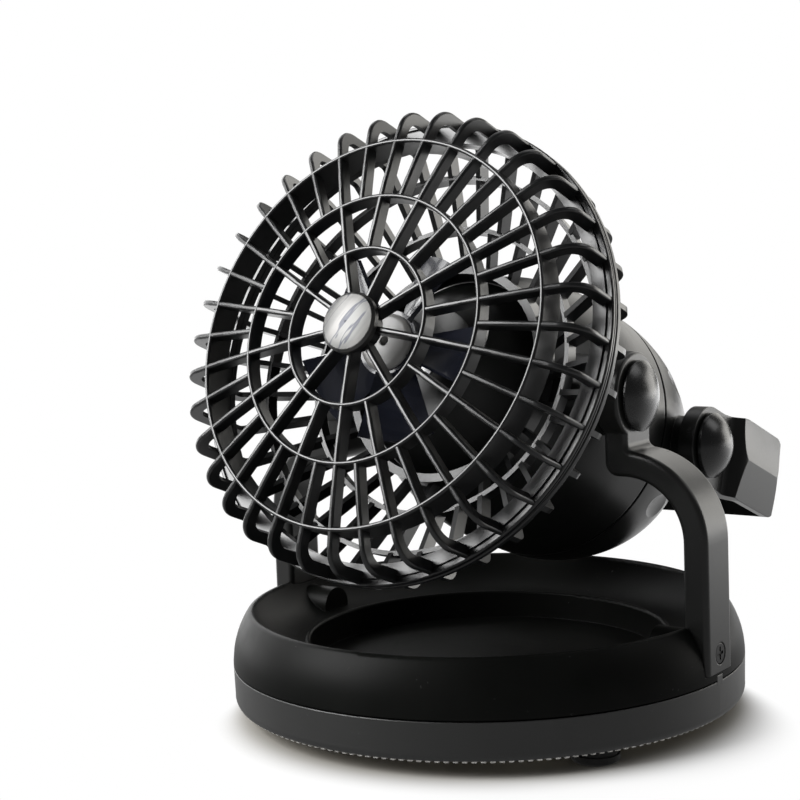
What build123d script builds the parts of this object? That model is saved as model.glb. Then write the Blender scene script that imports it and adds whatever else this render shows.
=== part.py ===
from build123d import *
import os
from math import asin, atan2, cos, degrees, pi, radians, sin, sqrt, tan

# Camping fan with a lamp in its foot: a round base with a well, a two-arm yoke,
# a tilting fan head behind a wire-like grille, and a bail handle at the back.
# Millimetres, Z up. The origin is on the base's axis, on the table under the feet.
# The head is drawn about its own axis: x along the tilt pivot, y up, z out of the front.

# Base shells
BASE_R = 82.6            # widest radius, at the seam
SEAM_Z = 16.8            # middle of the seam groove
SEAM_GAP = 0.5
SHELL_BOTTOM_Z = 5.2
BOTTOM_ROUND = 2.4       # height of the rounded bottom edge
BASE_WALL = 2.3
LIP_Z = 33.7
LIP_ROUND = 1.5          # half width of the rounded lip
DISH_W = 18.6            # from the lip's crest in to the well
DISH_SAG = 2.0           # how far the dish hangs below a straight cone
WELL_LIP_Z = 23.0
WELL_FLOOR_Z = 14.0
FLOOR_TOP_Z = 11.4       # top of the lower shell's floor
FLOOR_T = 2.0
TONGUE_T = 1.1           # tongue and rebate that close the seam
TONGUE_H = 2.2
FIT = 0.1                # clearance between moulded pieces that plug together
KEY_W = 3.6              # small locating key at the seam under each arm
KEY_H = 1.4

# Lamp under the base
LENS_BOTTOM_Z = 4.7
LENS_T = 1.2
LENS_WALL_H = 2.5
LENS_EDGE = 0.5          # bevel round the lens's lower edge
LENS_LAND = 1.6          # width of the shell's bottom edge round the lens
LENS_FIT = 0.5
BOARD_T = 1.6
LED_R = 2.5
LED_H = 1.4
REFLECTOR_T = 0.9
REFLECTOR_RISE = 2.0

# Feet and base screws
FOOT_R = 7.1
FOOT_DISC_H = 2.3        # from the table up to the foot's groove
FOOT_GROOVE = 1.2
FOOT_ANGLES = (-32, 32, 148, 212)
POST_R = 4.0
POST_ANGLES = (-64, 64, 116, 244)
SCREW_R = 1.4
SCREW_HEAD_R = 2.8
SCREW_HEAD_H = 1.7
SCREW_FIT = 0.03
PASS_FIT = 0.3           # clearance round a screw or a foot that passes through a sheet

# Yoke
ARM_W = 16.2             # size along Y
ARM_T = 7.9              # size across
ARM_BOTTOM_Z = 19.5
ARM_ROUND = 1.7
STEM_T = 7.7
STEM_H = 16.0            # from the top of the bend up to the pivot
STEM_FILLET = 2.4
EYE_R = 13.4
SLOT_GAP = 0.6           # gap between arm and base slot
SOCKET_WALL = 2.2
ARM_SCREW_Z = 25.0
ARM_SCREW_R = 1.5
ARM_SCREW_HEAD_R = 3.3
ARM_SCREW_HEAD_H = 1.3
NUB_R = 6.3              # half-round screw boss that shows on the dish

# Head frame
PIVOT_Z = 101.4
HEAD_TILT = 21.7         # degrees above level
PIN_R = 4.0
PIN_FIT = 0.06           # radial running clearance of a pivot pin
FACE_GAP = 0.3           # gap between faces that turn past each other
PIN_GRIP = 6.0           # length of pin inside its boss

# Front grille
DOME_TOP = 69.8          # front of the ribs on the axis
DOME_R = 353.0
LEG_R = 72.0             # outside of the ribs where they turn back to the rim
CORNER_R = 9.0
RIB_DEPTH = 5.2          # at the hub
RIB_LEG_DEPTH = 3.9      # at the corner and the leg
RIB_T = 1.7
RIB_ROUND = 0.65         # rounding of the ribs' front edges
RING_T = 1.4
RING_PROUD = 0.15        # how far the rings' round fronts stand over the ribs
RING_DEPTHS = (5.2, 5.2, 9.5)
HUB_RIBS = 9             # ribs that start at the hub; each ring doubles them
RIB_TURN = 1.8           # degrees that the rib pattern is turned
RIM_FRONT = 47.2
RIM_T = 2.3
RIM_GROOVE = 0.5
RIM_LIP = 1.0            # width of the rim's lip outside the channel
RIM_CHANNEL = 1.4        # width of the channel in the rim's front, which the legs cross
HUB_BOSS_R = 6.8
HUB_BOSS_L = 5.4
CAP_R = 9.25
CAP_EDGE = 2.1           # height of the cap's upright edge
CAP_BEVEL = 0.8
CAP_DOME = 1.0

# Rear grille
RIM_GAP = 0.2
REAR_RIM_T = 2.2
CONE_ANGLE = 30.0
CONE_FOOT_A = 20.5       # where the cone crosses the inner ring
REAR_CORNER_R = 6.0
REAR_DEPTH = 4.4
REAR_BARS = 24           # bars between the collar and the inner ring
COLLAR_A = 13.2          # rear end of the collar that sits on the bowl
COLLAR_T = 2.6
COLLAR_L = 8.0

# Motor housing and rear cover
HOUSING_R = 44.6
HOUSING_WALL = 2.2
BOWL_A = -30.0           # where the straight barrel starts to round in
BOWL_R = 83.0            # radius of that rounding
NOSE_A = 31.0            # flat front that carries the motor
HOUSING_BACK = -44.2
COVER_GAP = 1.3
COVER_LENGTH = 57.0      # half length of the ellipse that the cover follows
COVER_END = -86.0        # flat rear face
COVER_WALL = 2.6
COVER_ROUND = 2.5
COVER_SEAM = 17.0        # degrees, where the cover's surface closes on itself, clear of its features
SPIGOT_L = 4.0
PIVOT_BOSS_R = 12.5
WASHER_T = 0.9
OVAL_A = -63.0           # finger dimples round the cover
OVAL_L = 22.0
OVAL_W = 11.5
OVAL_DEPTH = 1.2
OVAL_BULGE = 2.2         # half height of the lens shape that presses each dimple
OVAL_COUNT = 6
COVER_SCREW_ANGLES = (60, 120, 240, 300)
COVER_SCREW_SEAT = -52.0
SLEEVE_R = 4.6
SLEEVE_END = -70.0
COVER_POST_L = 14.0

# Handle
HANDLE_A = -60.0         # pivot of the handle on the head's axis
HANDLE_BOSS_R = 9.5
HANDLE_HUB_R = 12.8
HANDLE_NECK_T = 5.3
GRIP_T = 4.4
GRIP_START = -74.2       # where the neck steps out to the grip
GRIP_HALF = 14.2
BAR_OUT = -109.0
BAR_T = 3.4
BAR_CORNER = 6.0
GRIP_LEAN = 2.2          # how far the grip's faces fall away from its ridge
GRIP_HOLLOW = 0.72       # share of the lean half way up the hollow face
GRIP_STEP = 3.0          # length of the step from the neck out to the grip
HANDLE_ROUND = 5.0

# Knob caps
KNOB_R = 10.8
KNOB_EDGE = 1.2
KNOB_DOME = 3.8
HANDLE_KNOB_EDGE = 1.6
HANDLE_KNOB_DOME = 5.2

# Motor, shaft and rotor
MOTOR_R = 13.8
MOTOR_L = 36.0
MOTOR_NECK_R = 4.0
MOTOR_NECK_L = 2.6
SHAFT_R = 1.5
SHAFT_FIT = 0.05
SHAFT_IN_MOTOR = 14.0
SHAFT_END = 51.0
ROTOR_HUB_R = 8.8
ROTOR_FRONT = 54.0
ROTOR_BACK = 44.5
ROTOR_HUB_WALL = 2.0
SLEEVE_T = 1.2           # sleeve that carries the blades
BLADES = 5
BLADE_TURN = -4.5        # degrees of the first blade from the pivot line
BLADE_TIP_R = 29.8
BLADE_MID_A = 48.2
BLADE_T = 1.4
BLADE_ROOT_CHORD = 11.5
BLADE_TIP_CHORD = 24.0
BLADE_ROOT_PITCH = 44.0
BLADE_TIP_PITCH = 27.0
BLADE_CAMBER = 0.06      # share of the chord
MOTOR_SCREW_RING_R = 9.0

# Battery, board, buttons and socket
CELL_R = 9.2
CELL_L = 65.0
CELL_FRONT = -9.0
CELL_SPACING = 20.0
TRAY_T = 1.8
TRAY_CLEAR = 0.2
TRAY_LEG_T = 2.4
CONTACT_T = 0.8
BOARD_A = -78.0          # rear face of the control board
CONTROL_BOARD_T = 1.6
CONTROL_BOARD_W = 40.0
CONTROL_BOARD_H = 30.0
BUTTON_R = 6.0
BUTTON_GAP = 0.3
BUTTON_X = 11.5
BUTTON_Y = 5.0
BUTTON_PROUD = 2.4
BUTTON_TRAVEL = 1.5
BUTTON_FLANGE = 1.2
BUTTON_FLANGE_T = 1.2
SOCKET_Y = -14.0
SOCKET_R = 4.2
SOCKET_BORE_R = 2.75
SOCKET_L = 8.0
SOCKET_LIP_R = 5.4
SOCKET_LIP_T = 0.8

# Sizes that follow from others
SHELL_BOTTOM_R = BASE_R - 0.8
LIP_R = BASE_R - 6.4
WELL_R = LIP_R - DISH_W
BOARD_R = WELL_R - 6.6
LED_RINGS = ((BOARD_R * 0.43, 6), (BOARD_R * 0.82, 12))
FOOT_RING_R = SHELL_BOTTOM_R - LENS_LAND - FOOT_R - 0.7
POST_RING_R = (WELL_R + BASE_R) / 2
NUB_END_X = WELL_R + 4.4
RIM_R = LEG_R + 0.5
RIM_INNER_R = LEG_R - 6
RING_R = (LEG_R - 48.1, LEG_R - 31.2, LEG_R - 12.5)
CONE_FOOT_R = LEG_R - 26
REAR_RINGS = (CONE_FOOT_R, LEG_R - 12)
COVER_SCREW_RING_R = HOUSING_R - 9.6
PIVOT_BOSS_X = HOUSING_R + 3.8
HANDLE_BOSS_X = PIVOT_BOSS_X
GRIP_OUT_X = HANDLE_BOSS_X + 11.6
STEM_OUT_X = PIVOT_BOSS_X + WASHER_T + FACE_GAP + STEM_T    # outer face of the stem that carries the eye
ARM_OUT_X = BASE_R + 0.3                                    # outer face of the upright
ARM_BEND_R = ARM_OUT_X - STEM_OUT_X + 1.2                   # outer radius of the bend
ARM_BEND_Z = PIVOT_Z - STEM_H - ARM_BEND_R                  # where the upright ends and the bend starts
SEAM_TOP = SEAM_Z + SEAM_GAP / 2
SEAM_BOTTOM = SEAM_Z - SEAM_GAP / 2
FLOOR_Z = FLOOR_TOP_Z - FLOOR_T
HEAD_AXIS = Vector(0, -cos(radians(HEAD_TILT)), sin(radians(HEAD_TILT)))
HEAD = Plane(origin=(0, 0, PIVOT_Z), x_dir=(1, 0, 0), z_dir=HEAD_AXIS)


def spun(*edges):
    """Solid of revolution about Z from a closed outline of (radius, height) edges."""
    return revolve(Plane.XZ * make_face(list(edges)), Axis.Z)


def ring(inner, outer, low, high):
    return spun(*Polyline((inner, low), (outer, low), (outer, high), (inner, high), close=True).edges())


def disc(radius, low, high):
    return Pos(0, 0, (low + high) / 2) * Cylinder(radius, high - low)


def along_x(shape):
    """Turn a shape drawn about Z so that its Z axis points along X."""
    return Rot(0, 90, 0) * shape


def at_angles(shape, radius, angles):
    return [Rot(0, 0, a) * Pos(radius, 0, 0) * shape for a in angles]


def both_sides(shape):
    return [shape, mirror(shape, Plane.YZ)]


def joined(first, others):
    """One solid from a first shape and a list of shapes that touch it."""
    return first + others


def cap_arc(radius, low, rise):
    """Arc of a round cap from its edge up to its top on the axis."""
    ball = (radius ** 2 + rise ** 2) / (2 * rise)
    centre = low + rise - ball
    half = asin(radius / ball) / 2
    return ThreePointArc((radius, low), (ball * sin(half), centre + ball * cos(half)), (0, low + rise))


def wide_circles(shape, radius):
    """Round edges of a shape that are at least as wide as a radius."""
    return shape.edges().filter_by(GeomType.CIRCLE).filter_by(lambda e: e.radius > radius - 0.1)


def screw(radius, length, head_r, head_h):
    """Pan-head screw along Z: shank below z=0, head above it, with a cross slot."""
    shank = disc(radius, -length, 0)
    head = disc(head_r, 0, head_h)
    head = fillet(head.edges().group_by(Axis.Z)[-1], head_h * 0.4)
    slot_l = head_r * 1.2
    slot_w = head_r * 0.28
    slot_z = head_h * 0.6
    slot = Pos(0, 0, head_h) * (Box(slot_l, slot_w, slot_z) + Box(slot_w, slot_l, slot_z))
    return shank + head - slot


# Base

def wall_arc(offset):
    """Outer wall of the base, upright at the seam and leaning in to the lip."""
    end_r = LIP_R + LIP_ROUND
    end_z = LIP_Z - LIP_ROUND * 0.6
    lean = BASE_R - end_r
    rise = end_z - SEAM_TOP
    radius = (lean ** 2 + rise ** 2) / (2 * lean)
    sweep = asin(rise / radius)
    centre_r = BASE_R - radius
    reach = radius - offset

    def point(share):
        return (centre_r + reach * cos(sweep * share), SEAM_TOP + reach * sin(sweep * share))

    return point


def dish_points(drop):
    start = (LIP_R - LIP_ROUND, LIP_Z - LIP_ROUND * 0.6 - drop)
    end = (WELL_R + LIP_ROUND, WELL_LIP_Z - drop)
    middle = ((start[0] + end[0]) / 2, (start[1] + end[1]) / 2 - DISH_SAG)
    return start, middle, end


def base_upper_shell():
    outer = wall_arc(0)
    inner = wall_arc(BASE_WALL)
    dish = dish_points(0)
    under = dish_points(BASE_WALL * 1.15)
    lip_end = outer(1)
    well_edge = (WELL_R, WELL_LIP_Z - LIP_ROUND / 2)
    cup_r = WELL_R + BASE_WALL
    cup_z = WELL_FLOOR_Z - BASE_WALL
    under_end = (cup_r, under[2][1] - 0.3)
    shoulder = inner(0.8)
    shell = spun(
        ThreePointArc(outer(0), outer(0.5), lip_end),
        ThreePointArc(lip_end, (LIP_R, LIP_Z), dish[0]),
        ThreePointArc(*dish),
        ThreePointArc(dish[2], (WELL_R + LIP_ROUND * 0.4, WELL_LIP_Z + 0.3), well_edge),
        Line(well_edge, (WELL_R, WELL_FLOOR_Z)),
        Line((WELL_R, WELL_FLOOR_Z), (0, WELL_FLOOR_Z)),
        Line((0, WELL_FLOOR_Z), (0, cup_z)),
        Line((0, cup_z), (cup_r, cup_z)),
        Line((cup_r, cup_z), under_end),
        Line(under_end, under[1]),
        Line(under[1], shoulder),
        ThreePointArc(shoulder, inner(0.4), inner(0)),
        Line(inner(0), outer(0)),
    )
    envelope = spun(
        ThreePointArc(outer(0), outer(0.5), lip_end),
        ThreePointArc(lip_end, (LIP_R, LIP_Z), dish[0]),
        ThreePointArc(*dish),
        Line(dish[2], (dish[2][0], SEAM_TOP)),
        Line((dish[2][0], SEAM_TOP), outer(0)),
    )
    tongue_r = BASE_R - TONGUE_T - FIT
    tongue = ring(BASE_R - BASE_WALL, tongue_r, SEAM_BOTTOM - TONGUE_H, SEAM_TOP + 0.2)
    posts = at_angles(disc(POST_R, FLOOR_TOP_Z, SEAM_TOP), POST_RING_R, POST_ANGLES)
    posts += [post & envelope for post in at_angles(disc(POST_R, SEAM_TOP, LIP_Z), POST_RING_R, POST_ANGLES)]
    pilots = at_angles(disc(SCREW_R + SCREW_FIT, 0, WELL_LIP_Z - BASE_WALL), POST_RING_R, POST_ANGLES)

    slot_w = ARM_W + 2 * SLOT_GAP
    slot_x = ARM_OUT_X - ARM_T - SLOT_GAP
    slot_end = BASE_R + BASE_WALL
    block_x = slot_x - SOCKET_WALL
    block = Box(slot_end - block_x, slot_w + 2 * SOCKET_WALL, LIP_Z)
    block = Pos((slot_end + block_x) / 2, 0, SEAM_TOP + LIP_Z / 2) * block
    socket = block & envelope
    nub = along_x(disc(NUB_R, NUB_END_X, slot_x)).moved(Location((0, 0, ARM_SCREW_Z)))
    slot = Pos((slot_end + slot_x) / 2, 0, ARM_BOTTOM_Z + LIP_Z / 2)
    slot = slot * Box(slot_end - slot_x, slot_w, LIP_Z)
    pilot = along_x(disc(ARM_SCREW_R + SCREW_FIT, NUB_END_X + SOCKET_WALL, slot_end))
    pilot = pilot.moved(Location((0, 0, ARM_SCREW_Z)))
    key = Box(BASE_WALL * 4, KEY_W + 2 * FIT, KEY_H + FIT)
    key = Pos(BASE_R, 0, SEAM_TOP + (KEY_H + FIT) / 2) * key

    shell = joined(shell, [tongue] + posts + both_sides(socket) + both_sides(nub))
    return shell - pilots - both_sides(slot) - both_sides(pilot) - both_sides(key)


def base_lower_shell():
    lens_r = SHELL_BOTTOM_R - LENS_LAND
    side_z = SHELL_BOTTOM_Z + BOTTOM_ROUND
    rebate_r = BASE_R - TONGUE_T
    rebate_z = SEAM_BOTTOM - TONGUE_H - FIT
    inner_r = BASE_R - BASE_WALL - FIT
    lean_r = BASE_R - 0.2
    round_mid = (lean_r - (lean_r - SHELL_BOTTOM_R) * 0.3, SHELL_BOTTOM_Z + BOTTOM_ROUND * 0.3)
    shell = spun(
        Line((BASE_R, SEAM_BOTTOM), (lean_r, side_z)),
        ThreePointArc((lean_r, side_z), round_mid, (SHELL_BOTTOM_R, SHELL_BOTTOM_Z)),
        Line((SHELL_BOTTOM_R, SHELL_BOTTOM_Z), (lens_r, SHELL_BOTTOM_Z)),
        Line((lens_r, SHELL_BOTTOM_Z), (lens_r, FLOOR_Z)),
        Line((lens_r, FLOOR_Z), (0, FLOOR_Z)),
        Line((0, FLOOR_Z), (0, FLOOR_TOP_Z)),
        Line((0, FLOOR_TOP_Z), (inner_r, FLOOR_TOP_Z)),
        Line((inner_r, FLOOR_TOP_Z), (inner_r, rebate_z)),
        Line((inner_r, rebate_z), (rebate_r, rebate_z)),
        Line((rebate_r, rebate_z), (rebate_r, SEAM_BOTTOM)),
        Line((rebate_r, SEAM_BOTTOM), (BASE_R, SEAM_BOTTOM)),
    )
    key_h = KEY_H + SEAM_GAP + TONGUE_H / 2
    key = Box(TONGUE_T, KEY_W, key_h)
    key = Pos(BASE_R - TONGUE_T / 2, 0, SEAM_TOP + KEY_H - key_h / 2) * key
    holes = at_angles(disc(SCREW_R + PASS_FIT, 0, SEAM_Z), POST_RING_R, POST_ANGLES)
    return joined(shell, both_sides(key)) - holes


def lamp_lens():
    radius = SHELL_BOTTOM_R - LENS_LAND - LENS_FIT
    inner = radius - LENS_T
    low = LENS_BOTTOM_Z
    top = low + LENS_WALL_H
    lens = spun(*Polyline(
        (0, low), (radius - LENS_EDGE, low), (radius, low + LENS_EDGE), (radius, top), (inner, top),
        (inner, low + LENS_T), (0, low + LENS_T), close=True).edges())
    return lens - at_angles(disc(FOOT_R + PASS_FIT, 0, top + 1), FOOT_RING_R, FOOT_ANGLES)


def lamp_reflector():
    outer = SHELL_BOTTOM_R - LENS_LAND - LENS_FIT - LENS_T - LENS_FIT
    inner = BOARD_R + LENS_FIT
    low = FLOOR_Z - REFLECTOR_RISE
    outline = Polyline((inner, FLOOR_Z), (inner, FLOOR_Z - REFLECTOR_T),
                       (outer, low - REFLECTOR_T), (outer, low), (inner + 3, FLOOR_Z), close=True)
    sheet = spun(*outline.edges())
    holes = at_angles(disc(FOOT_R + PASS_FIT, 0, SEAM_Z), FOOT_RING_R, FOOT_ANGLES)
    heads = at_angles(disc(SCREW_HEAD_R + PASS_FIT, 0, SEAM_Z), POST_RING_R, POST_ANGLES)
    return sheet - holes - heads


def lamp_leds():
    body = disc(LED_R, FLOOR_Z - BOARD_T - LED_H, FLOOR_Z - BOARD_T)
    body = fillet(body.edges().group_by(Axis.Z)[0], LED_H * 0.45)
    leds = []
    for radius, count in LED_RINGS:
        leds += at_angles(body, radius, [360 / count * i for i in range(count)])
    return Compound(leds)


def rubber_feet():
    foot = disc(FOOT_R, 0, FLOOR_Z)
    foot = fillet(foot.edges().group_by(Axis.Z)[0], 1.0)
    groove = ring(FOOT_R - FOOT_GROOVE / 2, FOOT_R + 1, FOOT_DISC_H, FOOT_DISC_H + FOOT_GROOVE)
    return Compound(at_angles(foot - groove, FOOT_RING_R, FOOT_ANGLES))


def base_screws():
    length = WELL_LIP_Z - BASE_WALL - FLOOR_Z - 1.0
    one = Pos(0, 0, FLOOR_Z) * Rot(180, 0, 0) * screw(SCREW_R, length, SCREW_HEAD_R, SCREW_HEAD_H)
    return Compound(at_angles(one, POST_RING_R, POST_ANGLES))


# Yoke

def yoke_arm():
    """Right-hand arm: upright, quarter bend in to the stem, and the eye round the pivot."""
    centre_x = ARM_OUT_X - ARM_BEND_R
    inner_r = ARM_BEND_R - ARM_T
    upright_in = ARM_OUT_X - ARM_T
    stem_in = STEM_OUT_X - STEM_T
    bend_out_z = ARM_BEND_Z + ARM_BEND_R
    bend_in_z = ARM_BEND_Z + inner_r
    reach_out = sqrt(ARM_BEND_R ** 2 - (STEM_OUT_X - centre_x) ** 2)
    turn = atan2(reach_out, STEM_OUT_X - centre_x)
    bend_meet = (STEM_OUT_X, ARM_BEND_Z + reach_out)
    bend_mid = (centre_x + ARM_BEND_R * cos(turn / 2), ARM_BEND_Z + ARM_BEND_R * sin(turn / 2))
    inner_mid = (centre_x + inner_r * cos(pi / 4), ARM_BEND_Z + inner_r * sin(pi / 4))
    outline = make_face([
        Line((ARM_OUT_X, ARM_BOTTOM_Z), (ARM_OUT_X, ARM_BEND_Z)),
        ThreePointArc((ARM_OUT_X, ARM_BEND_Z), bend_mid, bend_meet),
        Line(bend_meet, (STEM_OUT_X, PIVOT_Z)),
        Line((STEM_OUT_X, PIVOT_Z), (stem_in, PIVOT_Z)),
        Line((stem_in, PIVOT_Z), (stem_in, bend_in_z)),
        Line((stem_in, bend_in_z), (centre_x, bend_in_z)),
        ThreePointArc((centre_x, bend_in_z), inner_mid, (upright_in, ARM_BEND_Z)),
        Line((upright_in, ARM_BEND_Z), (upright_in, ARM_BOTTOM_Z)),
        Line((upright_in, ARM_BOTTOM_Z), (ARM_OUT_X, ARM_BOTTOM_Z)),
    ])
    elbow = outline.vertices().sort_by_distance((STEM_OUT_X, bend_out_z, 0))[0]
    outline = fillet(elbow, STEM_FILLET)
    heel = outline.vertices().sort_by_distance((stem_in, bend_in_z, 0))[0]
    outline = fillet(heel, STEM_T * 0.55)
    arm = extrude(Plane.XZ * outline, ARM_W / 2, both=True)
    long_edges = [e for e in arm.edges() if abs(abs(e.center().Y) - ARM_W / 2) < 0.01
                  and e.center().Z > ARM_BOTTOM_Z + 1 and e.center().Z < PIVOT_Z - 1]
    arm = fillet(long_edges, ARM_ROUND)
    eye = along_x(disc(EYE_R, stem_in, STEM_OUT_X)).moved(Location((0, 0, PIVOT_Z)))
    eye = fillet(eye.edges().filter_by(GeomType.CIRCLE), 1.0)
    arm = arm + eye
    bore = along_x(disc(PIN_R + PIN_FIT, 0, ARM_OUT_X)).moved(Location((0, 0, PIVOT_Z)))
    seat = disc(ARM_SCREW_HEAD_R + FIT, ARM_OUT_X - ARM_SCREW_HEAD_H, BASE_R + BASE_WALL)
    hole = disc(ARM_SCREW_R + PASS_FIT, STEM_OUT_X, BASE_R)
    screw_way = along_x(seat + hole).moved(Location((0, 0, ARM_SCREW_Z)))
    return arm - bore - screw_way


def arm_screws():
    length = ARM_OUT_X - ARM_SCREW_HEAD_H - NUB_END_X - SOCKET_WALL - 1.0
    one = screw(ARM_SCREW_R, length, ARM_SCREW_HEAD_R, ARM_SCREW_HEAD_H - 0.1)
    one = Pos(ARM_OUT_X - ARM_SCREW_HEAD_H, 0, ARM_SCREW_Z) * along_x(one)
    return Compound(both_sides(one))


# Front grille

def corner_centre():
    """Centre of the round corner that joins the dome to the legs, as (radius, height)."""
    r = LEG_R - CORNER_R
    return r, DOME_TOP - DOME_R + sqrt((DOME_R - CORNER_R) ** 2 - r ** 2)


def dome_height(r, inset=0.0):
    return DOME_TOP - DOME_R + sqrt((DOME_R - inset) ** 2 - r ** 2)


def front_rib(start_r):
    """Rib plate from a start radius over the dome, round the corner and back to the rim."""
    c_r, c_a = corner_centre()
    lean = atan2(c_r, c_a - (DOME_TOP - DOME_R))
    half = (pi / 2 + lean) / 2
    foot = RIM_FRONT - RIM_T / 2

    def line(start_inset, leg_inset):
        small = CORNER_R - leg_inset
        meet = (c_r + small * sin(lean), c_a + small * cos(lean))
        bend = (c_r + small * sin(half), c_a + small * cos(half))
        side = (c_r + small, c_a)
        first = (start_r, dome_height(start_r, start_inset))
        middle_r = (start_r + meet[0]) / 2
        middle = (middle_r, dome_height(middle_r, (start_inset + leg_inset) / 2))
        return first, middle, meet, bend, side

    out = line(0, 0)
    ins = line(RIB_DEPTH - (RIB_DEPTH - RIB_LEG_DEPTH) * start_r / LEG_R, RIB_LEG_DEPTH)
    face = make_face([
        ThreePointArc(out[0], out[1], out[2]),
        ThreePointArc(out[2], out[3], out[4]),
        Line(out[4], (out[4][0], foot)),
        Line((out[4][0], foot), (ins[4][0], foot)),
        Line((ins[4][0], foot), ins[4]),
        ThreePointArc(ins[4], ins[3], ins[2]),
        ThreePointArc(ins[2], ins[1], ins[0]),
        Line(ins[0], out[0]),
    ])
    rib = extrude(Plane.XZ * face, RIB_T / 2, both=True)
    leg = (out[4][0], (out[4][1] + foot) / 2)
    front = []
    for edge in rib.edges():
        middle = edge @ 0.5
        on_line = any(abs(middle.X - r) + abs(middle.Z - a) < 0.2 for r, a in (out[1], out[3], leg))
        if on_line and abs(middle.Y) > RIB_T / 3:
            front.append(edge)
    return fillet(front, RIB_ROUND)


def rib_angles(count, offset):
    return [-90 + RIB_TURN + offset + 360 / count * i for i in range(count)]


def round_ring(r, front, depth):
    """Thin ring with a round front edge."""
    half = RING_T / 2
    low = front - depth
    return spun(
        Line((r - half, low), (r + half, low)),
        Line((r + half, low), (r + half, front - half)),
        ThreePointArc((r + half, front - half), (r, front), (r - half, front - half)),
        Line((r - half, front - half), (r - half, low)),
    )


def front_grille():
    ribs = []
    step = 360 / HUB_RIBS
    for start_r, count, offset in ((HUB_BOSS_R - 2, HUB_RIBS, 0), (RING_R[0], HUB_RIBS, step / 2),
                                   (RING_R[1], HUB_RIBS * 2, step / 4)):
        ribs += at_angles(front_rib(start_r), 0, rib_angles(count, offset))
    rings = []
    for r, depth in zip(RING_R, RING_DEPTHS):
        rings.append(round_ring(r, dome_height(r) + RING_PROUD, depth))
    rim = ring(RIM_INNER_R, RIM_R, RIM_FRONT - RIM_T, RIM_FRONT)
    rim = fillet(wide_circles(rim, RIM_R), 0.5)
    groove_a = RIM_FRONT - RIM_T * 0.55
    groove = ring(RIM_R - RIM_GROOVE, RIM_R + 1, groove_a - RIM_GROOVE / 2, groove_a + RIM_GROOVE / 2)
    channel = ring(RIM_R - RIM_LIP - RIM_CHANNEL, RIM_R - RIM_LIP, RIM_FRONT - RIM_T / 3, RIM_FRONT + 1)
    boss = disc(HUB_BOSS_R, DOME_TOP - HUB_BOSS_L, DOME_TOP)
    return joined(boss, rings + ribs + [rim - groove - channel])


def hub_cap():
    edge_a = DOME_TOP + CAP_EDGE
    face_r = CAP_R - CAP_BEVEL
    face_a = edge_a + CAP_BEVEL * 0.8
    return spun(
        Line((0, DOME_TOP), (CAP_R - 0.4, DOME_TOP)),
        Line((CAP_R - 0.4, DOME_TOP), (CAP_R, DOME_TOP + 0.4)),
        Line((CAP_R, DOME_TOP + 0.4), (CAP_R, edge_a)),
        Line((CAP_R, edge_a), (face_r, face_a)),
        cap_arc(face_r, face_a, CAP_DOME),
        Line((0, face_a + CAP_DOME), (0, DOME_TOP)),
    )


# Rear grille

def bowl_radius(a, inset=0.0):
    """Radius of the motor housing's rounded front at a height on the head's axis."""
    return HOUSING_R - BOWL_R + sqrt((BOWL_R - inset) ** 2 - (a - BOWL_A) ** 2)


def rear_bar(start_r):
    """Straight bar up the cone from a start radius to the inner ring."""
    start_a = CONE_FOOT_A - (CONE_FOOT_R - start_r) * tan(radians(CONE_ANGLE))
    face = make_face(Polyline(
        (start_r, start_a), (CONE_FOOT_R, CONE_FOOT_A), (CONE_FOOT_R, CONE_FOOT_A + REAR_DEPTH),
        (start_r, start_a + REAR_DEPTH), close=True).edges())
    return extrude(Plane.XZ * face, RIB_T / 2, both=True)


def rear_rib():
    slope = radians(CONE_ANGLE)
    rim_back = RIM_FRONT - RIM_T - RIM_GAP - REAR_RIM_T / 2
    c_r = LEG_R - REAR_CORNER_R
    c_a = CONE_FOOT_A + (c_r - CONE_FOOT_R) * tan(slope) + REAR_CORNER_R / cos(slope)

    def edge(inset):
        small = REAR_CORNER_R - inset
        meet = (c_r + small * sin(slope), c_a - small * cos(slope))
        bend = (c_r + small * cos(pi / 4 - slope / 2), c_a - small * sin(pi / 4 - slope / 2))
        side = (c_r + small, c_a)
        foot = (CONE_FOOT_R, meet[1] - (meet[0] - CONE_FOOT_R) * tan(slope))
        return foot, meet, bend, side

    out = edge(0)
    ins = edge(REAR_DEPTH)
    face = make_face([
        Line(out[0], out[1]),
        ThreePointArc(out[1], out[2], out[3]),
        Line(out[3], (out[3][0], rim_back)),
        Line((out[3][0], rim_back), (ins[3][0], rim_back)),
        Line((ins[3][0], rim_back), ins[3]),
        ThreePointArc(ins[3], ins[2], ins[1]),
        Line(ins[1], ins[0]),
        Line(ins[0], out[0]),
    ])
    return extrude(Plane.XZ * face, RIB_T / 2, both=True)


def rear_grille():
    top = RIM_FRONT - RIM_T - RIM_GAP
    rim = ring(RIM_INNER_R, RIM_R, top - REAR_RIM_T, top)
    rim = fillet(wide_circles(rim, RIM_R), 0.5)
    collar_in = bowl_radius(COLLAR_A) + FIT
    collar = ring(collar_in, collar_in + COLLAR_T, COLLAR_A, COLLAR_A + COLLAR_L)
    rings = []
    for r in REAR_RINGS:
        low = CONE_FOOT_A + (r - CONE_FOOT_R) * tan(radians(CONE_ANGLE)) + 0.6
        rings.append(ring(r - RING_T / 2, r + RING_T / 2, low, low + REAR_DEPTH))
    ribs = at_angles(rear_rib(), 0, rib_angles(HUB_RIBS * 4, 0))
    bars = at_angles(rear_bar(collar_in + COLLAR_T / 2), 0, rib_angles(REAR_BARS, 0))
    return joined(rim, ribs + rings + bars + [collar])


# Motor housing and rear cover

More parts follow.
